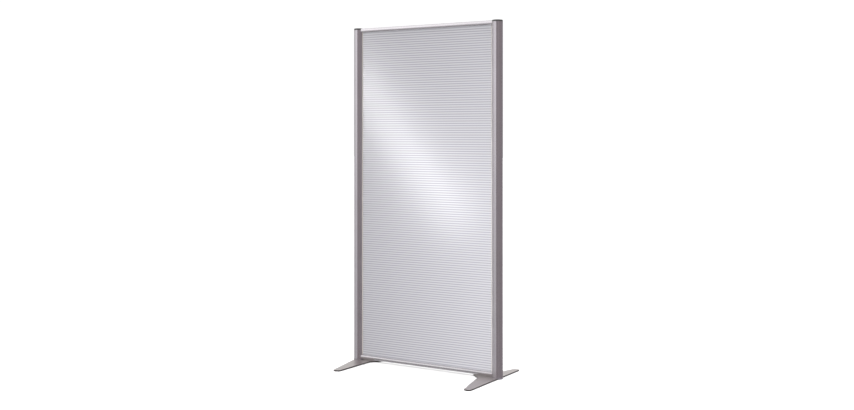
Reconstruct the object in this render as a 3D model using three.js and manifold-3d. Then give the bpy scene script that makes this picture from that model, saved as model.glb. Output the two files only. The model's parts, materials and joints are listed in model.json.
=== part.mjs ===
// A free-standing partition screen: a sheet of fluted twin-wall polycarbonate held by two slotted
// round posts and two slim rails, all of extruded aluminium, on two flat steel feet.
// Millimetres, +Z up. X runs along the screen, -Y is its front, Z = 0 is the floor.

import * as THREE from 'three';
import { mergeVertices } from 'three/addons/utils/BufferGeometryUtils.js';
import Module from 'manifold-3d';

const wasm = await Module();
wasm.setup();

// ---------------------------------------------------------------- driving dimensions

// whole screen
const overallHeight = 1650;
const postSpacing = 780; // from post axis to post axis

// fits
const runningGap = 0.3; // between pieces that slide or turn
const slideGap = 0.25; // either side of what is pushed into a slot

// post extrusion
const postRadius = 25;
const postWall = 2.3;
const slotMouth = 12.6; // width between the lips of a slot
const slotWidth = 16; // width behind the lips
const slotFloor = 13.5; // from the post axis
const lipInside = 20.5; // from the post axis
const ribWall = 1.8; // the walls inside the extrusion
const screwPortRadius = 7;
const footBoltRadius = 4; // an M8 bolt

// sheet
const sheetThickness = 10;
const sheetSkin = 0.7;
const fluteWall = 0.6;
const flutePitch = 11; // as sold; stretched a little to a whole number of flutes
const sealThickness = 0.8; // the edge seals in the posts and the glazing strips in the rails
const stripArm = 8.2; // how far a glazing strip reaches along the sheet
const edgeSealLip = 3; // how far an edge seal stands out of its post

// rails
const railHeight = 20;
const railEdgeDepth = 25.2; // front to back at the top and bottom edge
const railCrownDepth = 31; // front to back where the two faces would meet in a point
const railCrownRadius = 23;
const railCorner = 2.5;
const railClosedWall = 2.2;
const railWall = 1.5;
const railChannel = 8.8; // how deep the sheet's channel is
const topRailDrop = 1.5; // from the top of the post cap down to the rail
const floorGap = 10; // under the bottom rail

// rail connectors
const tongueLength = 46; // from the post's surface into the rail
const screwSetback = 16; // from the post's surface
const railScrewRadius = 2;
const railScrewHead = 3.8;
const railScrewHeadDepth = 1.8;
const railScrewEndGap = 0.5; // from the screw's end to the web above it
const tongueChamfer = 2;

// slot covers
const coverThickness = 1.4;
const coverRecess = 0.2; // behind the post's own surface
const coverLeg = 1.1;
const coverBarb = 1.2;

// post caps
const capHeight = 8;
const capEdge = 3;
const capPlugLength = 14;
const capPlugGap = 0.35;

// feet
const padThickness = 1.5;
const padRadius = 9;
const padEdge = 0.4; // its chamfer
const padTipInset = 26; // from a tip of the plate to the pad's centre
const padLobeInset = 32;
const plateThickness = 5;
const plateBevel = 0.7;
const swivelWasherThickness = 2;
const footOuterEdge = 14; // from the post axis to the plate's straight edge
const footFrontReach = 281;
const footRearReach = 201;
const footFrontTip = 33; // width across the front tip
const footRearTip = 29;
const footTipRadius = 12;
const footWaist = 76; // from the post axis to where the front arm meets the inner lobe
const footRearWaist = 62;
const footWaistHalf = 47; // how far from the post axis, front and back, the lobe begins
const footWaistRadius = 22;
const lobeReach = 132; // the lobe under the bottom rail, before its tip is rounded
const lobeTipRadius = 10;
const boltHeadRadius = 8.2;
const boltHeadDepth = 4.2;
const boltLength = 42;
const leftFootTurn = 12; // degrees that the left foot stands off square

// how finely the round forms are cut
const postSegments = 64;
const boltSegments = 32;
const cornerStep = THREE.MathUtils.degToRad(15);

// ---------------------------------------------------------------- values that follow

const plateBottom = padThickness;
const plateTop = plateBottom + plateThickness;
const postBottom = plateTop + swivelWasherThickness;
const postTop = overallHeight - capHeight;
const postLength = postTop - postBottom;

const topRailTop = overallHeight - topRailDrop;
const topChannelFloor = topRailTop - railHeight + railChannel;
const bottomChannelFloor = floorGap + railHeight - railChannel;
const sheetTop = topChannelFloor - runningGap - sealThickness - runningGap;
const sheetBottom = bottomChannelFloor + runningGap + sealThickness + runningGap;
const sheetHeight = sheetTop - sheetBottom;
const sheetInset = slotFloor + runningGap + sealThickness + runningGap; // from the post axis
const sheetWidth = postSpacing - 2 * sheetInset;
const edgeSealArm = postRadius + edgeSealLip - slotFloor - runningGap;
const stripInset = postRadius + edgeSealLip + runningGap; // from the post axis

// ---------------------------------------------------------------- finishes

const anodised = { color: 0xb6b1b6, roughness: 0.36, metalness: 0.85 };
const coverStrip = { color: 0xc3bec3, roughness: 0.34, metalness: 0.8 };
const polycarbonate = { color: 0xc8c8cf, roughness: 0.3, metalness: 0, transparent: true, opacity: 0.85 };
const blackMoulding = { color: 0x3b393c, roughness: 0.55, metalness: 0 };
const greyMoulding = { color: 0x6b676a, roughness: 0.6, metalness: 0 };
const clearSeal = { color: 0xb9b4ae, roughness: 0.5, metalness: 0 };
const softSeal = { color: 0x55525a, roughness: 0.8, metalness: 0 };
const coatedSteel = { color: 0xa8a2a2, roughness: 0.5, metalness: 0.6 };
const dieCastZinc = { color: 0x8f9093, roughness: 0.45, metalness: 0.8 };
const zincedSteel = { color: 0x9a9ca0, roughness: 0.4, metalness: 0.9 };
const softPad = { color: 0x2e2d2f, roughness: 0.9, metalness: 0 };

// ---------------------------------------------------------------- outlines

// A closed outline through corners [x, y, radius], each rounded to its radius.
function roundedOutline(corners) {
  const points = corners.map(([x, y]) => new THREE.Vector2(x, y));
  const outline = corners.flatMap(([, , radius], i) => {
    const here = points[i];
    if (radius === 0) return [here];
    const back = points.at(i - 1).clone().sub(here).normalize();
    const ahead = points[(i + 1) % points.length].clone().sub(here).normalize();
    const half = Math.acos(back.dot(ahead)) / 2;
    const inwards = back.clone().add(ahead).normalize();
    const centre = here.clone().addScaledVector(inwards, radius / Math.sin(half));
    const start = here.clone().addScaledVector(back, radius / Math.tan(half)).sub(centre);
    const sweep = (Math.PI - 2 * half) * -Math.sign(back.cross(ahead));
    const steps = Math.max(2, Math.ceil(Math.abs(sweep) / cornerStep));
    return Array.from({ length: steps + 1 }, (_, step) => {
      const angle = start.angle() + (sweep * step) / steps;
      return new THREE.Vector2(Math.cos(angle), Math.sin(angle)).multiplyScalar(radius).add(centre);
    });
  });
  return new THREE.Shape(outline);
}

const outlineOf = (points) => roundedOutline(points.map(([x, y]) => [x, y, 0]));

// The points, turned about the origin by a quarter turn for each count.
function quarterTurned(points, quarters) {
  const angle = (quarters * Math.PI) / 2;
  const centre = new THREE.Vector2(0, 0);
  return points.map(([x, y]) => new THREE.Vector2(x, y).rotateAround(centre, angle).toArray());
}

// Points along an arc about the origin, ends included.
function arcPoints(radius, from, to, steps) {
  return Array.from({ length: steps + 1 }, (_, i) => {
    const angle = from + ((to - from) * i) / steps;
    return [radius * Math.cos(angle), radius * Math.sin(angle)];
  });
}

const mirroredInY = (points) => points.map(([x, y]) => [x, -y]).reverse();

// ---------------------------------------------------------------- solids

function prism(outline, length, bevel = 0) {
  const settings = { depth: length - 2 * bevel, bevelEnabled: bevel > 0 };
  if (bevel > 0) {
    Object.assign(settings, { bevelSize: bevel, bevelOffset: -bevel, bevelThickness: bevel });
    settings.bevelSegments = 2;
  }
  return new THREE.ExtrudeGeometry(outline, settings).translate(0, 0, bevel);
}

// Stands a profile drawn as depth (y) by height (z) so that it runs along X, centred.
function alongX(geometry, length) {
  const axes = [new THREE.Vector3(0, 1, 0), new THREE.Vector3(0, 0, 1), new THREE.Vector3(1, 0, 0)];
  return geometry.applyMatrix4(new THREE.Matrix4().makeBasis(...axes)).translate(-length / 2, 0, 0);
}

// A turned solid: profile points [radius, height] that start and end on the axis.
function turned(profile, segments) {
  const points = profile.map(([radius, height]) => new THREE.Vector2(radius, height));
  return new THREE.LatheGeometry(points, segments).rotateX(Math.PI / 2);
}

function rod(radius, from, to, segments) {
  return turned([[0, from], [radius, from], [radius, to], [0, to]], segments);
}

function solidOf(geometry) {
  const bare = geometry.clone();
  bare.deleteAttribute('normal');
  bare.deleteAttribute('uv');
  const merged = mergeVertices(bare, 1e-4);
  const corners = Array.from(merged.index.array);
  const faces = corners.flatMap((a, i) => {
    const [b, c] = [corners[i + 1], corners[i + 2]];
    return i % 3 > 0 || a === b || b === c || c === a ? [] : [a, b, c];
  });
  const vertProperties = new Float32Array(merged.attributes.position.array);
  return new wasm.Manifold(new wasm.Mesh({ numProp: 3, vertProperties, triVerts: new Uint32Array(faces) }));
}

function geometryOf(solid) {
  const mesh = solid.getMesh();
  const geometry = new THREE.BufferGeometry();
  geometry.setAttribute('position', new THREE.BufferAttribute(mesh.vertProperties, 3));
  geometry.setIndex(new THREE.BufferAttribute(mesh.triVerts, 1));
  geometry.computeVertexNormals();
  return geometry;
}

const cut = (body, ...tools) => tools.reduce((rest, tool) => rest.subtract(solidOf(tool)), solidOf(body));

// A prism with hollows that run from end to end.
function hollowPrism(outline, hollows, length) {
  const over = 1;
  const tools = hollows.map((hollow) => prism(hollow, length + 2 * over).translate(0, 0, -over));
  return geometryOf(cut(prism(outline, length), ...tools));
}

function piece(name, geometry, finish) {
  const mesh = new THREE.Mesh(geometry, new THREE.MeshStandardMaterial({ ...finish }));
  mesh.name = name;
  return mesh;
}

// ---------------------------------------------------------------- post

// One of the four hollow chambers that lie between neighbouring slots.
function cornerChamber(clearance) {
  const side = slotWidth / 2 + ribWall + clearance;
  const radius = postRadius - postWall - clearance;
  const from = Math.asin(side / radius);
  return [[side, side], ...arcPoints(radius, from, Math.PI / 2 - from, 6)];
}

// One of the four hollows around the screw port, between the webs that hold it.
function portChamber() {
  const outer = slotFloor - ribWall;
  const half = slotWidth / 2;
  const webEnd = half + ribWall * Math.SQRT1_2;
  const opening = Math.PI / 4 - Math.asin(ribWall / 2 / screwPortRadius);
  const wall = [[webEnd, -half], [outer, -half], [outer, half], [webEnd, half]];
  return [...wall, ...arcPoints(screwPortRadius, opening, -opening, 4)];
}

// A quarter of the outside: the round surface, then the slot that opens along +Y.
function slottedQuarter() {
  const mouth = slotMouth / 2;
  const lip = Math.asin(mouth / postRadius);
  const back = slotWidth / 2;
  return [
    ...arcPoints(postRadius, lip, Math.PI / 2 - lip, postSegments / 4),
    [mouth, lipInside],
    [back, lipInside],
    [back, slotFloor],
    [-back, slotFloor],
    [-back, lipInside],
    [-mouth, lipInside],
  ];
}

function postGeometry() {
  const quarters = [0, 1, 2, 3];
  const outline = outlineOf(quarters.flatMap((turn) => quarterTurned(slottedQuarter(), turn)));
  const chambers = quarters.flatMap((turn) => [
    outlineOf(quarterTurned(cornerChamber(0), turn)),
    outlineOf(quarterTurned(portChamber(), turn)),
  ]);
  const port = outlineOf(arcPoints(footBoltRadius + runningGap, 0, 2 * Math.PI, boltSegments).slice(1));
  return hollowPrism(outline, [...chambers, port], postLength);
}

// A flat strip that snaps behind the lips of a slot that holds no sheet. It faces +X.
function slotCoverGeometry() {
  const face = Math.sqrt(postRadius ** 2 - (slotMouth / 2) ** 2) - coverRecess;
  const half = slotMouth / 2 - slideGap;
  const behind = lipInside - runningGap;
  const edge = [
    [face, half],
    [behind, half],
    [behind, half + coverBarb],
    [behind - coverBarb, half],
    [behind - 2 * coverBarb, half - coverLeg / 2],
    [behind - 2 * coverBarb, half - coverLeg],
    [face - coverThickness, half - coverLeg],
  ];
  return prism(outlineOf([...edge, ...mirroredInY(edge)]), postLength);
}

// A moulded lid whose four plugs push into the post's corner chambers, notched on the side of the
// sheet for the head of the rail's connector.
function capGeometry() {
  const [across, up] = [postRadius - capEdge, capHeight - capEdge];
  const corner = arcPoints(capEdge, 0, Math.PI / 2, 5).map(([x, y]) => [across + x, up + y]);
  const lid = turned([[0, 0], [postRadius, 0], ...corner, [0, capHeight]], postSegments);
  const plugs = [0, 1, 2, 3].map((turn) => {
    const outline = outlineOf(quarterTurned(cornerChamber(capPlugGap), turn));
    return solidOf(prism(outline, capPlugLength + capHeight / 2).translate(0, 0, -capPlugLength));
  });
  const rise = topRailTop - railClosedWall - postTop;
  const notch = new THREE.BoxGeometry(postRadius, slotWidth, 2 * rise);
  notch.translate(slotFloor + postRadius / 2, 0, 0);
  const whole = plugs.reduce((body, next) => body.add(next), solidOf(lid));
  return geometryOf(whole.subtract(solidOf(notch)));
}

// ---------------------------------------------------------------- rails

// Depth (x) by height (y), with the closed side at 0 and the sheet's channel open at railHeight.
function railOutline() {
  const edge = railEdgeDepth / 2;
  const crown = railCrownDepth / 2;
  const mouth = slotMouth / 2;
  const channelFloor = railHeight - railChannel;
  return roundedOutline([
    [-edge, 0, railCorner],
    [edge, 0, railCorner],
    [crown, railHeight / 2, railCrownRadius],
    [edge, railHeight, railCorner],
    [mouth, railHeight, 0],
    [mouth, channelFloor, 0],
    [-mouth, channelFloor, 0],
    [-mouth, railHeight, 0],
    [-edge, railHeight, railCorner],
    [-crown, railHeight / 2, railCrownRadius],
  ]);
}

// The tongue's chamber under the channel, and one chamber on either side of the channel.
function railChambers() {
  const mouth = slotMouth / 2;
  const webTop = railHeight - railChannel - railWall;
  const inner = mouth + railWall;
  const outer = railEdgeDepth / 2 - railWall;
  const middle = [[-mouth, railClosedWall], [mouth, railClosedWall], [mouth, webTop], [-mouth, webTop]];
  const side = [
    [inner, railClosedWall],
    [outer, railClosedWall],
    [railCrownDepth / 2 - 1.5 * railWall, railHeight / 2],
    [outer, railHeight - railWall],
    [inner, railHeight - railWall],
  ];
  return [middle, side, side.map(([x, y]) => [-x, y])].map(outlineOf);
}

const screwPlace = postSpacing / 2 - postRadius - screwSetback; // from the middle of the screen

function countersunkProfile(headRadius, shankRadius, headDepth, length, clearance) {
  return [
    [0, -clearance],
    [headRadius + clearance, -clearance],
    [headRadius + clearance, 0],
    [shankRadius + clearance, headDepth],
    [shankRadius + clearance, length + clearance],
    [0, length + clearance],
  ];
}

// A countersunk screw with a hexagon socket, head at 0 and pointing up.
function countersunkScrew(headRadius, shankRadius, headDepth, length) {
  const body = turned(countersunkProfile(headRadius, shankRadius, headDepth, length, 0), boltSegments);
  const socket = rod(shankRadius * 0.75, -1, headDepth * 0.8, 6);
  return geometryOf(cut(body, socket));
}

const railScrewLength = railHeight - railChannel - railWall - railScrewEndGap;
const railScrew = [railScrewHead, railScrewRadius, railScrewHeadDepth, railScrewLength];

// A rail with its closed side down, its ends hollowed to fit round the posts.
function railGeometry() {
  const length = postSpacing - postRadius;
  const bar = alongX(hollowPrism(railOutline(), railChambers(), length), length);
  const tools = [-1, 1].flatMap((side) => {
    const around = rod(postRadius + runningGap, -1, railHeight + 1, postSegments);
    const hole = turned(countersunkProfile(...railScrew, runningGap), boltSegments);
    return [around.translate((side * postSpacing) / 2, 0, 0), hole.translate(side * screwPlace, 0, 0)];
  });
  return geometryOf(cut(bar, ...tools));
}

// A T-headed tongue: the head drops behind the lips of the post's slot, the tongue lies in the rail.
// It faces +X from the post's axis, with its underside at 0.
function connectorGeometry() {
  const headHalf = slotWidth / 2 - runningGap;
  const neckHalf = slotMouth / 2 - runningGap;
  const headBack = slotFloor + runningGap;
  const headFront = lipInside - runningGap;
  const tip = postRadius + tongueLength;
  const edge = [
    [tip, neckHalf - tongueChamfer],
    [tip - tongueChamfer, neckHalf],
    [headFront, neckHalf],
    [headFront, headHalf],
    [headBack, headHalf],
  ];
  const height = railHeight - railChannel - railWall - railClosedWall - 2 * runningGap;
  const tongue = prism(outlineOf([...edge, ...mirroredInY(edge)]), height);
  const hole = rod(railScrewRadius + runningGap, -1, height + 1, boltSegments);
  return geometryOf(cut(tongue, hole.translate(postRadius + screwSetback, 0, 0)));
}

// ---------------------------------------------------------------- sheet and seals

// Twin-wall sheet: two skins joined by ribs, with every flute open from one end to the other.
function sheetGeometry() {
  const flutes = Math.round((sheetHeight - fluteWall) / flutePitch);
  const pitch = (sheetHeight - fluteWall) / flutes;
  const half = sheetThickness / 2;
  const inside = half - sheetSkin;
  const outline = outlineOf([[-half, 0], [half, 0], [half, sheetHeight], [-half, sheetHeight]]);
  const hollows = Array.from({ length: flutes }, (_, i) => {
    const low = fluteWall + i * pitch;
    const high = (i + 1) * pitch;
    return outlineOf([[-inside, low], [inside, low], [inside, high], [-inside, high]]);
  });
  return alongX(hollowPrism(outline, hollows, sheetWidth), sheetWidth);
}

// A U round an edge of the sheet: across (x) by along the arms (y), with the base's outside at 0.
function sealProfile(arm) {
  const outer = sheetThickness / 2 + slideGap + sealThickness;
  const inner = outer - sealThickness;
  return outlineOf([
    [-outer, 0],
    [outer, 0],
    [outer, arm],
    [inner, arm],
    [inner, sealThickness],
    [-inner, sealThickness],
    [-inner, arm],
    [-outer, arm],
  ]);
}

// In a rail's channel, from one edge seal to the other.
function railGlazingStrip() {
  const length = postSpacing - 2 * stripInset;
  return alongX(prism(sealProfile(stripArm), length), length);
}

// In a post's slot, its base at the slot's floor and its arms along +X.
const edgeSealGeometry = () => prism(sealProfile(edgeSealArm), sheetHeight).rotateZ(-Math.PI / 2);

// ---------------------------------------------------------------- feet

const footBolt = [boltHeadRadius, footBoltRadius, boltHeadDepth, boltLength];

// The plate seen from above: x towards the middle of the screen (side = 1 or -1), y to the back.
function footOutline(side) {
  const corners = [
    [-footOuterEdge, -footFrontReach, footTipRadius],
    [footFrontTip - footOuterEdge, -footFrontReach, footTipRadius],
    [footWaist, -footWaistHalf, footWaistRadius],
    [lobeReach, 0, lobeTipRadius],
    [footRearWaist, footWaistHalf, footWaistRadius],
    [footRearTip - footOuterEdge, footRearReach, footTipRadius],
    [-footOuterEdge, footRearReach, footTipRadius],
  ];
  return roundedOutline(corners.map(([x, y, radius]) => [side * x, y, radius]));
}

function footPlateGeometry(side) {
  const plate = prism(footOutline(side), plateThickness, plateBevel);
  const hole = countersunkProfile(...footBolt, runningGap);
  return geometryOf(cut(plate, turned(hole, boltSegments)));
}

// The washer that the foot turns on: a disc between plate and post, and a step that fills the
// post's outline beside the plate's straight edge. Its underside is level with the plate's.
function swivelWasherGeometry(side) {
  const height = plateThickness + swivelWasherThickness;
  const disc = rod(postRadius, 0, height, postSegments);
  const reach = 2 * postRadius;
  const room = new THREE.BoxGeometry(reach, 2 * reach, 2 * plateThickness);
  room.translate(side * (reach / 2 - footOuterEdge - runningGap), 0, 0);
  const hole = rod(footBoltRadius + runningGap, -1, height + 1, boltSegments);
  return geometryOf(cut(disc, room, hole));
}

// Where the pads are, as the outline of the plate has it.
const padPlaces = {
  front: [footFrontTip / 2 - footOuterEdge, -footFrontReach + padTipInset],
  rear: [footRearTip / 2 - footOuterEdge, footRearReach - padTipInset],
  lobe: [lobeReach - padLobeInset, 0],
};

function padGeometry() {
  const side = [[padRadius - padEdge, 0], [padRadius, padEdge], [padRadius, padThickness]];
  return turned([[0, 0], ...side, [0, padThickness]], boltSegments);
}

// ---------------------------------------------------------------- assembly

// A post stands on its axis, with its sheet slot facing +X; the right one is turned half round.
function postAssembly(name) {
  const group = new THREE.Group();
  const post = piece(`${name}_post`, postGeometry(), anodised);
  const cap = piece(`${name}_post_cap`, capGeometry(), blackMoulding);
  post.position.z = postBottom;
  cap.position.z = postTop;
  group.add(post, cap);
  const rearTurn = name === 'left' ? 1 : 3;
  const turns = { rear: rearTurn, outer: 2, front: 4 - rearTurn };
  for (const [place, quarters] of Object.entries(turns)) {
    const cover = piece(`${name}_${place}_slot_cover`, slotCoverGeometry(), coverStrip);
    cover.position.z = postBottom;
    cover.rotation.z = (quarters * Math.PI) / 2;
    group.add(cover);
  }
  const seal = piece(`${name}_sheet_edge_seal`, edgeSealGeometry(), clearSeal);
  seal.position.set(slotFloor + runningGap, 0, sheetBottom);
  const bolt = piece(`${name}_foot_bolt`, countersunkScrew(...footBolt), zincedSteel);
  bolt.position.z = plateBottom;
  group.add(seal, bolt);
  return group;
}

// The connectors and screws at one end of both rails, as seen from the post's axis along +X.
function railJoints(name) {
  const group = new THREE.Group();
  const underTongue = railClosedWall + runningGap;
  for (const [place, level, up] of [['bottom', floorGap, 1], ['top', topRailTop, -1]]) {
    const end = new THREE.Group();
    const connector = piece(`${name}_${place}_rail_connector`, connectorGeometry(), dieCastZinc);
    const fixing = piece(`${name}_${place}_rail_screw`, countersunkScrew(...railScrew), zincedSteel);
    connector.position.z = underTongue;
    fixing.position.x = postRadius + screwSetback;
    end.add(connector, fixing);
    end.position.z = level;
    if (up < 0) end.rotation.x = Math.PI;
    group.add(end);
  }
  return group;
}

// A foot hangs about its post's axis, so it can be turned there.
function footAssembly(name, side) {
  const group = new THREE.Group();
  const plate = piece(`${name}_foot_plate`, footPlateGeometry(side), coatedSteel);
  const washer = piece(`${name}_swivel_washer`, swivelWasherGeometry(side), greyMoulding);
  plate.position.z = plateBottom;
  washer.position.z = plateBottom;
  group.add(plate, washer);
  for (const [place, [x, y]] of Object.entries(padPlaces)) {
    const pad = piece(`${name}_${place}_floor_pad`, padGeometry(), softPad);
    pad.position.set(side * x, y, 0);
    group.add(pad);
  }
  return group;
}

function sheetAssembly() {
  const group = new THREE.Group();
  const bottomRail = piece('bottom_rail', railGeometry(), anodised);
  const topRail = piece('top_rail', railGeometry(), anodised);
  bottomRail.position.z = floorGap;
  topRail.position.z = topRailTop;
  topRail.rotation.x = Math.PI;
  const sheet = piece('fluted_sheet', sheetGeometry(), polycarbonate);
  sheet.position.z = sheetBottom;
  const bottomStrip = piece('bottom_glazing_strip', railGlazingStrip(), softSeal);
  const topStrip = piece('top_glazing_strip', railGlazingStrip(), softSeal);
  bottomStrip.position.z = bottomChannelFloor + runningGap;
  topStrip.position.z = topChannelFloor - runningGap;
  topStrip.rotation.x = Math.PI;
  group.add(bottomRail, topRail, sheet, bottomStrip, topStrip);
  return group;
}

const screen = new THREE.Group();
screen.add(sheetAssembly());

for (const [name, side] of [['left', 1], ['right', -1]]) {
  const end = new THREE.Group();
  end.add(postAssembly(name), railJoints(name));
  end.position.x = (-side * postSpacing) / 2;
  if (side < 0) end.rotation.z = Math.PI;
  const foot = footAssembly(name, side);
  foot.position.x = (-side * postSpacing) / 2;
  if (name === 'left') foot.rotation.z = THREE.MathUtils.degToRad(leftFootTurn);
  screen.add(end, foot);
}

// The origin is on the floor, in the middle of the space that the screen takes up.
screen.updateMatrixWorld(true);
const middle = new THREE.Box3().setFromObject(screen, true).getCenter(new THREE.Vector3());
screen.position.set(-middle.x, -middle.y, 0);

export default screen;
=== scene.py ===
import json
import math

import bmesh
import bpy
from mathutils import Matrix, Vector

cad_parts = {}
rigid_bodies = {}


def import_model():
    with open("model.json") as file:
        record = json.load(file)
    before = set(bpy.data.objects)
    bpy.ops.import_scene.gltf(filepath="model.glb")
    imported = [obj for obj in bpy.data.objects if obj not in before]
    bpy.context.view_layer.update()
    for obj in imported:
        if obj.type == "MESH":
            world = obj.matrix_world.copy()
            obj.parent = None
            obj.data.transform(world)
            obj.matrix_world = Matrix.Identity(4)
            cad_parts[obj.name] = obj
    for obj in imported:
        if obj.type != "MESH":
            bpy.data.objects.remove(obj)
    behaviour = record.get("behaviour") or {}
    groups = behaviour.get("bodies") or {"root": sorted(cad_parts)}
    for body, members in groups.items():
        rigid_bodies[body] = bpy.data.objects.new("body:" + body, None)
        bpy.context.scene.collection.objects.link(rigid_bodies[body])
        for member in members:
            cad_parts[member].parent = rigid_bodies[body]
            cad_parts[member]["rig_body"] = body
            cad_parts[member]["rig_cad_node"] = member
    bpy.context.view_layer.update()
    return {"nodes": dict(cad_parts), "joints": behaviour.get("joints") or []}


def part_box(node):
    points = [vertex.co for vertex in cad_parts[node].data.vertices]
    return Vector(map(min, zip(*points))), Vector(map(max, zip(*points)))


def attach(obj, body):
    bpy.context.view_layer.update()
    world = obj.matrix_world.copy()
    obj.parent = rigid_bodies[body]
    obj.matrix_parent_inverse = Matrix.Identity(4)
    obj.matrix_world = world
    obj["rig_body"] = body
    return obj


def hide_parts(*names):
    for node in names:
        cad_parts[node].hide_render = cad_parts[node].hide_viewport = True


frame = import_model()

nodes = frame["nodes"]
joints = {joint["name"]: joint for joint in frame["joints"]}
sides = ("left", "right")
print("frame loaded:", len(nodes), "nodes")


def toLinear(hexColour):
    channels = [int(hexColour[i:i + 2], 16) / 255 for i in (1, 3, 5)]
    linear = [c / 12.92 if c <= 0.04045 else ((c + 0.055) / 1.055) ** 2.4 for c in channels]
    return (*linear, 1.0)


def addNode(tree, kind, settings=None, inputs=None):
    # an input given as a socket is linked, any other is set as the input's own value
    node = tree.nodes.new(kind)
    for name, value in (settings or {}).items():
        setattr(node, name, value)
    for name, value in (inputs or {}).items():
        if isinstance(value, bpy.types.NodeSocket):
            tree.links.new(value, node.inputs[name])
        else:
            node.inputs[name].default_value = value
    return node


def newMaterial(name):
    material = bpy.data.materials.new(name)
    material.use_nodes = True
    material.node_tree.nodes.clear()
    return material, material.node_tree


def setRamp(ramp, stops):
    # stops are (position, linear colour), lowest first
    elements = ramp.color_ramp.elements
    while len(elements) < len(stops):
        elements.new(0.5)
    for element, (position, colour) in zip(elements, stops):
        element.position = position
        element.color = colour


def shaded(hexColour, share):
    return [min(1, share * c) for c in toLinear(hexColour)[:3]] + [1]


def noise(tree, spacing, detail=3.0, stretch=None):
    # 3-D noise in the piece's own coordinates. Its cells are "spacing" metres apart, or as far as stretch
    # says along each axis.
    place = addNode(tree, "ShaderNodeTexCoord")
    scale = [1 / length for length in (stretch or [spacing] * 3)]
    scaled = addNode(tree, "ShaderNodeMapping", inputs={"Vector": place.outputs["Object"], "Scale": scale})
    cells = addNode(tree, "ShaderNodeTexNoise", {"noise_dimensions": "3D"},
                    {"Vector": scaled.outputs["Vector"], "Scale": 1.0, "Detail": detail, "Roughness": 0.6})
    return cells.outputs["Fac"]


noiseRange = (0.3, 0.7)  # nearly all of a noise's values lie in it


def spread(tree, value, low, high):
    # a noise's range carried over to low and high
    return addNode(tree, "ShaderNodeMapRange", inputs={
        "Value": value, "From Min": noiseRange[0], "From Max": noiseRange[1],
        "To Min": low, "To Max": high}).outputs["Result"]


def tinted(tree, value, hexColour, dark, light):
    # the colour from its dark share to its light share, as a noise rises
    tone = addNode(tree, "ShaderNodeValToRGB", inputs={"Fac": value})
    setRamp(tone, [(noiseRange[0], shaded(hexColour, dark)), (noiseRange[1], shaded(hexColour, light))])
    return tone.outputs["Color"]


def bumped(tree, height, depth, strength=1.0):
    return addNode(tree, "ShaderNodeBump", inputs={
        "Height": height, "Strength": strength, "Distance": depth}).outputs["Normal"]


def surface(tree, inputs):
    shader = addNode(tree, "ShaderNodeBsdfPrincipled", inputs=inputs)
    addNode(tree, "ShaderNodeOutputMaterial", inputs={"Surface": shader.outputs["BSDF"]})


# metres: "length" lies along the axis in which the piece was extruded, and "spacing" across it
dieLines = {
    "spacing": 0.0025,  # real die lines are 0.3 mm apart; drawn coarser, so that they show at all
    "length": 0.6,
    "depth": 0.00001,
    "clouds": 0.12,  # the bath leaves the tone a little uneven from hand to hand
}


def anodisedAluminium(name, axis, base, roughness):
    # natural anodised aluminium, extruded: a satin metal whose fine die lines draw highlights out lengthwise
    material, tree = newMaterial(name)
    stretch = [dieLines["spacing"]] * 3
    stretch["xyz".index(axis)] = dieLines["length"]
    lines = noise(tree, None, stretch=stretch)
    clouds = noise(tree, dieLines["clouds"], detail=2.0)
    cloudy = addNode(tree, "ShaderNodeMix", {"data_type": "RGBA", "blend_type": "MULTIPLY"}, {
        0: 1.0, 6: tinted(tree, lines, base, 0.94, 1.05), 7: tinted(tree, clouds, "#ffffff", 0.95, 1.0)})
    surface(tree, {
        "Base Color": cloudy.outputs[2], "Metallic": 1.0,
        "Roughness": spread(tree, lines, roughness - 0.04, roughness + 0.05),
        "Normal": bumped(tree, lines, dieLines["depth"], 0.5)})
    return material


def castOrPlatedMetal(name, base, roughness, grain, depth):
    # bright zinc plating or as-cast zinc: a plain grey metal with a fine uneven skin that dulls its mirror
    material, tree = newMaterial(name)
    skin = noise(tree, grain, detail=4.0)
    surface(tree, {
        "Base Color": tinted(tree, skin, base, 0.88, 1.08), "Metallic": 1.0,
        "Roughness": spread(tree, skin, roughness - 0.06, roughness + 0.08),
        "Normal": bumped(tree, skin, depth, 0.6)})
    return material


# lengths in metres
silverCoat = {
    "flake": 0.0016,  # real flakes are 0.05 mm; drawn coarser, so that they show at all
    "peel": 0.004,  # the waves of the baked coat
    "peelDepth": 0.00001,
    "paintedSideShade": "#3f3b39",  # painted shade: the plate's upright side faces are drawn dark, standing in for the dark studio they mirror and the shadow at the floor
    "metallic": 0.85,
    "roughness": (0.28, 0.36),
}


def powderCoatedSteel(name, base):
    # steel plate with a baked silver powder coat: soft sheen with a fine sparkle and a faint orange peel.
    # Its upright side faces carry painted shade
    material, tree = newMaterial(name)
    flakes = noise(tree, silverCoat["flake"], detail=2.0)
    peel = noise(tree, silverCoat["peel"], detail=1.0)
    facing = addNode(tree, "ShaderNodeNewGeometry")
    parts = addNode(tree, "ShaderNodeSeparateXYZ", inputs={"Vector": facing.outputs["Normal"]})
    flat = addNode(tree, "ShaderNodeMath", {"operation": "ABSOLUTE"}, {0: parts.outputs["Z"]})
    # painted shade: faces that stand upright take the dark side tone, and tilted faces blend towards the
    # coat's own tone
    tone = addNode(tree, "ShaderNodeMix", {"data_type": "RGBA"}, {
        0: flat.outputs[0], 6: toLinear(silverCoat["paintedSideShade"]), 7: tinted(tree, flakes, base, 0.9, 1.07)})
    surface(tree, {
        "Base Color": tone.outputs[2], "Metallic": silverCoat["metallic"],
        "Roughness": spread(tree, flakes, *silverCoat["roughness"]),
        "Normal": bumped(tree, peel, silverCoat["peelDepth"], 0.7)})
    return material


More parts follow.
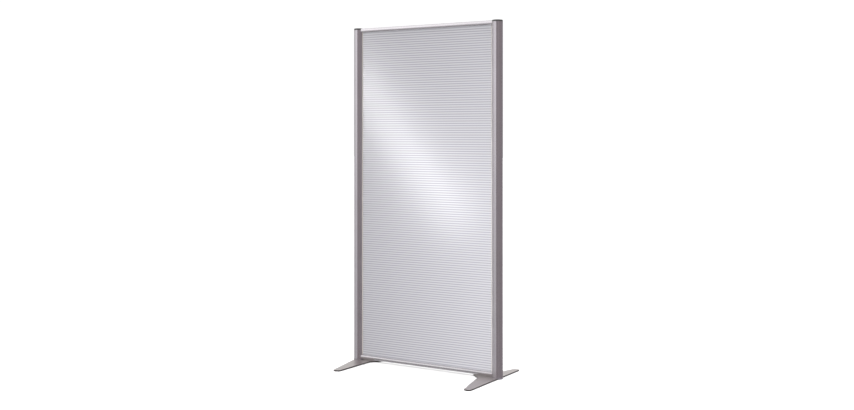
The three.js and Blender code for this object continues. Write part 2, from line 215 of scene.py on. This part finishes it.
def grainedPlastic(name, base, roughness, grain, depth):
    # moulded plastic or rubber: an even colour, broken by the fine grain that the mould or compound leaves
    material, tree = newMaterial(name)
    speckle = noise(tree, grain, detail=4.0)
    surface(tree, {
        "Base Color": tinted(tree, speckle, base, 0.85, 1.12), "IOR": 1.5,
        "Roughness": spread(tree, speckle, roughness - 0.04, roughness + 0.06),
        "Normal": bumped(tree, speckle, depth, 0.6)})
    return material


# lengths in metres
twinWallSheet = {
    "flutes": 147,
    "rib": 0.0006,
    "ribShade": 0.0045,  # a rib with the soft shade that the milky skin spreads round it
    "sag": 0.00005,  # how far the skin sinks between two ribs as it cools
    "ribTone": "#ababb1",
    "skinTone": "#d4d4da",
    "roughness": 0.215,
    "throughLight": 0.3,
    "rollBands": (0.5, 0.5, 0.03),  # faint bands across, from the rolls that it ran through
}


def polycarbonate(name):
    # extruded twin-wall polycarbonate: milky skins with a soft gloss, where every rib shows as a grey line
    material, tree = newMaterial(name)
    low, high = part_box("fluted_sheet")
    pitch = (high[2] - low[2] - twinWallSheet["rib"]) / twinWallSheet["flutes"]
    place = addNode(tree, "ShaderNodeTexCoord")
    parts = addNode(tree, "ShaderNodeSeparateXYZ", inputs={"Vector": place.outputs["Object"]})
    height = addNode(tree, "ShaderNodeMath", {"operation": "SUBTRACT"}, {
        0: parts.outputs["Z"], 1: low[2] + twinWallSheet["rib"] / 2})
    away = addNode(tree, "ShaderNodeMath", {"operation": "PINGPONG"}, {0: height.outputs[0], 1: pitch / 2})
    skin = addNode(tree, "ShaderNodeMapRange", {"interpolation_type": "SMOOTHSTEP"}, {
        "Value": away.outputs[0],
        "From Min": twinWallSheet["rib"] / 2, "From Max": twinWallSheet["ribShade"]})
    sag = addNode(tree, "ShaderNodeMapRange", {"interpolation_type": "SMOOTHSTEP"}, {
        "Value": away.outputs[0], "From Max": pitch / 2, "To Min": 1.0, "To Max": 0.0})
    tone = addNode(tree, "ShaderNodeMix", {"data_type": "RGBA"}, {
        0: skin.outputs["Result"],
        6: toLinear(twinWallSheet["ribTone"]), 7: toLinear(twinWallSheet["skinTone"])})
    haze = noise(tree, None, detail=2.0, stretch=twinWallSheet["rollBands"])
    roughness = twinWallSheet["roughness"]
    surface(tree, {
        "Base Color": tone.outputs[2], "IOR": 1.58, "Transmission Weight": twinWallSheet["throughLight"],
        "Roughness": spread(tree, haze, roughness - 0.02, roughness + 0.02),
        "Normal": bumped(tree, sag.outputs["Result"], twinWallSheet["sag"])})
    return material


# angles in degrees: facets that turn by less than "flat" are one face, edges that turn by more than "broken"
# get a small bevel, and those that then still turn by more than "sharp" aren't smoothed
edges = {
    "flat": 0.5,
    "broken": 30,
    "sharp": 50,
    "segments": 2,
    "weld": 1e-6,  # metres
}


def applyModifiers(piece):
    bpy.context.view_layer.update()
    evaluated = piece.evaluated_get(bpy.context.evaluated_depsgraph_get())
    result = bpy.data.meshes.new_from_object(evaluated)
    piece.modifiers.clear()
    piece.data = result


def refined(node, width):
    # the node's own shape with its facets smoothed and its sharp edges broken, which catches the light
    source = nodes[node]
    mesh = source.data.copy()
    mesh.materials.clear()
    soft = bmesh.new()
    soft.from_mesh(mesh)
    bmesh.ops.remove_doubles(soft, verts=soft.verts, dist=edges["weld"])
    flat = math.radians(edges["flat"])
    bmesh.ops.dissolve_limit(soft, angle_limit=flat, verts=soft.verts, edges=soft.edges)
    soft.to_mesh(mesh)
    soft.free()
    piece = bpy.data.objects.new(node + "_finish", mesh)
    bpy.context.scene.collection.objects.link(piece)
    bevel = piece.modifiers.new("brokenEdge", "BEVEL")
    bevel.width = width
    bevel.segments = edges["segments"]
    bevel.limit_method = "ANGLE"
    bevel.angle_limit = math.radians(edges["broken"])
    bevel.use_clamp_overlap = True
    applyModifiers(piece)
    piece.data.polygons.foreach_set("use_smooth", [True] * len(piece.data.polygons))
    piece.data.set_sharp_from_angle(angle=math.radians(edges["sharp"]))
    # weighted normals, so that the long flat faces beside a bevel mirror as flat ones do
    even = piece.modifiers.new("evenShading", "WEIGHTED_NORMAL")
    even.keep_sharp = True
    applyModifiers(piece)
    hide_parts(node)
    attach(piece, source["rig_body"])
    return piece


def finish(piece, material):
    piece.data.materials.clear()
    piece.data.materials.append(material)


upright = anodisedAluminium("anodisedAluminiumUpright", "z", "#c9c4c8", 0.28)
lengthwise = anodisedAluminium("anodisedAluminiumLengthwise", "x", "#cfcbcf", 0.16)
coverStrip = anodisedAluminium("anodisedCoverStrip", "z", "#c9c4ca", 0.26)
twinWall = polycarbonate("twinWallPolycarbonate")
mouldedAbs = grainedPlastic("mouldedBlackAbs", "#464646", 0.32, 0.0012, 0.00003)
nylon = grainedPlastic("mouldedGreyNylon", "#77737a", 0.5, 0.0012, 0.00003)
softPvc = grainedPlastic("milkySoftPvc", "#c0bbb4", 0.45, 0.002, 0.00002)
epdm = grainedPlastic("greyEpdm", "#5d5a60", 0.7, 0.0015, 0.00003)
rubber = grainedPlastic("blackRubber", "#2b2a2b", 0.8, 0.0015, 0.00005)
castZinc = castOrPlatedMetal("castZinc", "#a8aaad", 0.45, 0.0015, 0.00003)
zincPlate = castOrPlatedMetal("zincPlatedSteel", "#c0c2c4", 0.28, 0.001, 0.00001)
coatedSteel = powderCoatedSteel("silverPowderCoatedSteel", "#bfb8b6")
print("materials made")

for side in sides:
    finish(refined(f"{side}_post", 0.0003), upright)
    finish(refined(f"{side}_post_cap", 0.0004), mouldedAbs)
    for place in ("front", "outer", "rear"):
        finish(refined(f"{side}_{place}_slot_cover", 0.0002), coverStrip)
    finish(refined(f"{side}_foot_plate", 0.0003), coatedSteel)
    finish(refined(f"{side}_swivel_washer", 0.0004), nylon)
    finish(nodes[f"{side}_sheet_edge_seal"], softPvc)
    finish(refined(f"{side}_foot_bolt", 0.0002), zincPlate)
    for level in ("bottom", "top"):
        finish(nodes[f"{side}_{level}_rail_connector"], castZinc)
        finish(refined(f"{side}_{level}_rail_screw", 0.0001), zincPlate)
    for place in ("front", "rear", "lobe"):
        finish(refined(f"{side}_{place}_floor_pad", 0.0002), rubber)
for level in ("bottom", "top"):
    finish(refined(f"{level}_rail", 0.0003), lengthwise)
    finish(nodes[f"{level}_glazing_strip"], epdm)
finish(nodes["fluted_sheet"], twinWall)
print("pieces finished")


camera = {
    "fromRightPost": (2.3035, -4.3257, 1.1245),  # metres from the foot of the right post's axis
    "turn": 31.826,  # degrees to the right of the screen's front
    "focalPixels": 1063.43,
    "horizon": 134.1,  # the row of the picture that lies at the camera's height
    "picture": (854, 410),
    "sensor": 36.0,  # millimetres
    "farthest": 200,  # metres
}


def placeCamera():
    width, height = camera["picture"]
    lens = bpy.data.cameras.new("studioCamera")
    lens.sensor_width = camera["sensor"]
    lens.lens = camera["focalPixels"] * lens.sensor_width / width
    lens.shift_y = (camera["horizon"] - height / 2) / width
    lens.clip_end = camera["farthest"]
    body = bpy.data.objects.new("studioCamera", lens)
    bpy.context.scene.collection.objects.link(body)
    postFoot = Vector(joints["right_foot_swivel"]["pos_m"])
    postFoot.z = 0
    body.location = postFoot + Vector(camera["fromRightPost"])
    body.rotation_euler = (math.radians(90), 0, math.radians(camera["turn"]))
    bpy.context.scene.camera = body


# the studio's walls, which the metal mirrors: degrees and linear levels. A wall's span is given round from
# the screen's front, with its left negative, and its levels are given up from the horizon. The walls on the
# right are faintly reddish, as the posts' dark sides in the photo are. The camera itself sees plain white.
studio = {
    "brightest": 2.0,
    "background": 1.05,
    "leftSide": [(-90, 0.5), (-13, 0.62), (6, 0.8), (40, 1.2)],
    "walls": [
        {"span": [(-75, 0), (-60, 1), (-12, 1), (0, 0)], "tint": (1, 1, 1),
         "levels": [(-60, 0.3), (-45, 0.5), (-31, 0.8), (-27, 0.03), (-23, 0.03), (-18, 0.66), (-11, 0.6),
                    (-4, 0.78), (-1, 0.88), (4, 1.5), (8, 1.2), (12, 0.72), (30, 0.6)]},
        {"span": [(-12, 0), (0, 1), (48, 1), (62, 0)], "tint": (1.0, 0.91, 0.95),
         "levels": [(-40, 0.3), (10, 0.36), (60, 0.8)]},
        {"span": [(48, 0), (62, 1), (165, 1), (178, 0)], "tint": (1.0, 0.91, 0.95),
         "levels": [(-40, 0.3), (10, 0.35), (60, 0.7)]},
        {"span": [(-180, 1), (-130, 1), (-110, 0), (165, 0), (178, 1)], "tint": (1, 1, 1),
         "levels": [(-14, 0.5), (-2, 0.6), (6, 0.6), (13, 0.9), (30, 0.85)]},
    ],
}


def studioSurround():
    world = bpy.data.worlds.new("studioSurround")
    world.use_nodes = True
    tree = world.node_tree
    tree.nodes.clear()
    direction = addNode(tree, "ShaderNodeTexCoord")
    parts = addNode(tree, "ShaderNodeSeparateXYZ", inputs={"Vector": direction.outputs["Generated"]})
    ahead = addNode(tree, "ShaderNodeMath", {"operation": "MULTIPLY"}, {0: parts.outputs["Y"], 1: -1.0})
    azimuth = addNode(tree, "ShaderNodeMath", {"operation": "ARCTAN2"}, {
        0: parts.outputs["X"], 1: ahead.outputs[0]})
    elevation = addNode(tree, "ShaderNodeMath", {"operation": "ARCSINE"}, {0: parts.outputs["Z"]})

    def ramp(angle, limit, stops, unit, tint=(1, 1, 1)):
        # the level at an angle that runs from -limit to limit, as a share of unit
        share = addNode(tree, "ShaderNodeMapRange", inputs={
            "Value": angle.outputs[0], "From Min": -math.radians(limit), "From Max": math.radians(limit)})
        wall = addNode(tree, "ShaderNodeValToRGB", inputs={"Fac": share.outputs["Result"]})
        setRamp(wall, [
            ((degrees + limit) / (2 * limit), [level / unit * part for part in tint] + [1])
            for degrees, level in stops])
        return wall.outputs["Color"]

    colour = ramp(elevation, 90, studio["leftSide"], studio["brightest"])
    for wall in studio["walls"]:
        levels = ramp(elevation, 90, wall["levels"], studio["brightest"], wall["tint"])
        colour = addNode(tree, "ShaderNodeMix", {"data_type": "RGBA"}, {
            0: ramp(azimuth, 180, wall["span"], 1), 6: colour, 7: levels}).outputs[2]
    around = addNode(tree, "ShaderNodeBackground", inputs={"Color": colour, "Strength": studio["brightest"]})
    white = addNode(tree, "ShaderNodeBackground", inputs={
        "Color": (1, 1, 1, 1), "Strength": studio["background"]})
    path = addNode(tree, "ShaderNodeLightPath")
    seen = addNode(tree, "ShaderNodeMixShader", inputs={
        0: path.outputs["Is Camera Ray"], 1: around.outputs[0], 2: white.outputs[0]})
    addNode(tree, "ShaderNodeOutputWorld", inputs={"Surface": seen.outputs[0]})
    bpy.context.scene.world = world


floorPlane = {
    "half": 40,  # metres
    "tone": "#a0a0a0",  # the lamp floorWash lifts it to the photo's white
}


def paleFloor():
    mesh = bpy.data.meshes.new("paleFloor")
    half = floorPlane["half"]
    corners = [(-half, -half, 0), (half, -half, 0), (half, half, 0), (-half, half, 0)]
    mesh.from_pydata(corners, [], [(0, 1, 2, 3)])
    floor = bpy.data.objects.new("paleFloor", mesh)
    bpy.context.scene.collection.objects.link(floor)
    material, tree = newMaterial("paleStudioFloor")
    surface(tree, {
        "Base Color": toLinear(floorPlane["tone"]), "Roughness": 1.0, "Specular IOR Level": 0.0})
    mesh.materials.append(material)
    # the object doesn't see the floor: its metal mirrors the studio's walls below the horizon instead
    floor.visible_diffuse = False
    floor.visible_glossy = False
    floor.visible_transmission = False


# metres, from the origin of the screen, and watts. A lamp lights "only" those pieces or all but the "spared"
# ones, and where "shadedBy" is given, only those throw a shadow in its light.
softBoxes = {
    # long and slanted, to the left of the front: its mirror image is the photo's streak on the sheet
    "streak": {"place": (-1.525, -2.0, 1.15), "target": (-0.07, 0.035, 1.06), "along": (1.15, 0.0, -1.28),
               "size": (1.72, 0.15), "power": 13.5, "unseen": ("camera", "diffuse"),
               "only": ["fluted_sheet"]},
    # on the right and low, so that the sheet is lighter towards its lower right. No surface mirrors it.
    "lowFill": {"place": (1.2, -1.7, 0.4), "target": (0.1, 0.0, 0.5), "along": (1.0, 0.0, 0.0),
                "size": (1.2, 1.2), "power": 62, "unseen": ("camera", "glossy", "transmission"),
                "spared": ["paleFloor"]},
    # behind, so that the back isn't in the dark. It isn't mirrored, and isn't seen through the sheet.
    "backFill": {"place": (-0.5, 2.4, 1.1), "target": (0.0, 0.0, 0.9), "along": (1.0, 0.0, 0.0),
                 "size": (2.0, 2.0), "power": 90, "unseen": ("camera", "glossy", "transmission"),
                 "spared": ["paleFloor"]},
    # over the front: the gleam on the upper half of the top rail and on the caps
    "railGleam": {"place": (-0.82, -1.35, 2.45), "target": (0.0, 0.03, 1.64), "along": (1.0, 0.0, 0.0),
                  "size": (1.6, 1.2), "power": 4.6, "unseen": ("camera", "diffuse", "transmission"),
                  "only": ["top_rail_finish", "left_post_cap_finish", "right_post_cap_finish"]},
}
# wide skies overhead, as strength and angle of spread in degrees
skies = {
    # from above, for the top faces and the feet
    "overheadLight": {"strength": 0.85, "spread": 60, "towards": (0.1, 0.15, -1), "unseen": ("glossy",),
                      "spared": ["paleFloor"]},
    # makes the floor white. The feet alone shade it, as the photo has no shadow of the screen.
    "floorWash": {"strength": 13.5, "spread": 170, "towards": (0, 0, -1), "only": ["paleFloor"],
                  "shadedBy": [f"{side}_{part}_finish" for side in sides for part in (
                      "foot_plate", "swivel_washer",
                      "front_floor_pad", "rear_floor_pad", "lobe_floor_pad")]},
}


def linkedPieces(name, pieces, state):
    # a light linking collection, of the pieces that count for a lamp ("INCLUDE") or don't ("EXCLUDE")
    linked = bpy.data.collections.new(name)
    for piece in pieces:
        linked.objects.link(nodes.get(piece) or bpy.data.objects[piece])
    for member in linked.collection_objects:
        member.light_linking.link_state = state
    return linked


def hangLamp(name, kind, settings):
    light = bpy.data.lights.new(name, kind)
    lamp = bpy.data.objects.new(name, light)
    bpy.context.scene.collection.objects.link(lamp)
    for ray in settings.get("unseen", ()):
        setattr(lamp, "visible_" + ray, False)
    linking = lamp.light_linking
    if "only" in settings:
        linking.receiver_collection = linkedPieces(name + "Lights", settings["only"], "INCLUDE")
    if "spared" in settings:
        linking.receiver_collection = linkedPieces(name + "Spares", settings["spared"], "EXCLUDE")
    if "shadedBy" in settings:
        linking.blocker_collection = linkedPieces(name + "Shades", settings["shadedBy"], "INCLUDE")
    return lamp, light


def hangSoftBox(name, box):
    lamp, light = hangLamp(name, "AREA", box)
    light.shape = "RECTANGLE"
    light.size, light.size_y = box["size"]
    light.energy = box["power"]
    backward = (Vector(box["place"]) - Vector(box["target"])).normalized()
    across = backward.cross(Vector(box["along"])).normalized()
    lamp.matrix_world = Matrix((across.cross(backward), across, backward)).transposed().to_4x4()
    lamp.location = box["place"]


def hangSky(name, sky):
    lamp, light = hangLamp(name, "SUN", sky)
    light.energy = sky["strength"]
    light.angle = math.radians(sky["spread"])
    lamp.rotation_euler = Vector(sky["towards"]).to_track_quat("-Z", "Y").to_euler()


placeCamera()
studioSurround()
paleFloor()
for name, box in softBoxes.items():
    hangSoftBox(name, box)
for name, sky in skies.items():
    hangSky(name, sky)
bpy.context.scene.view_settings.view_transform = "Standard"
print("stage set")
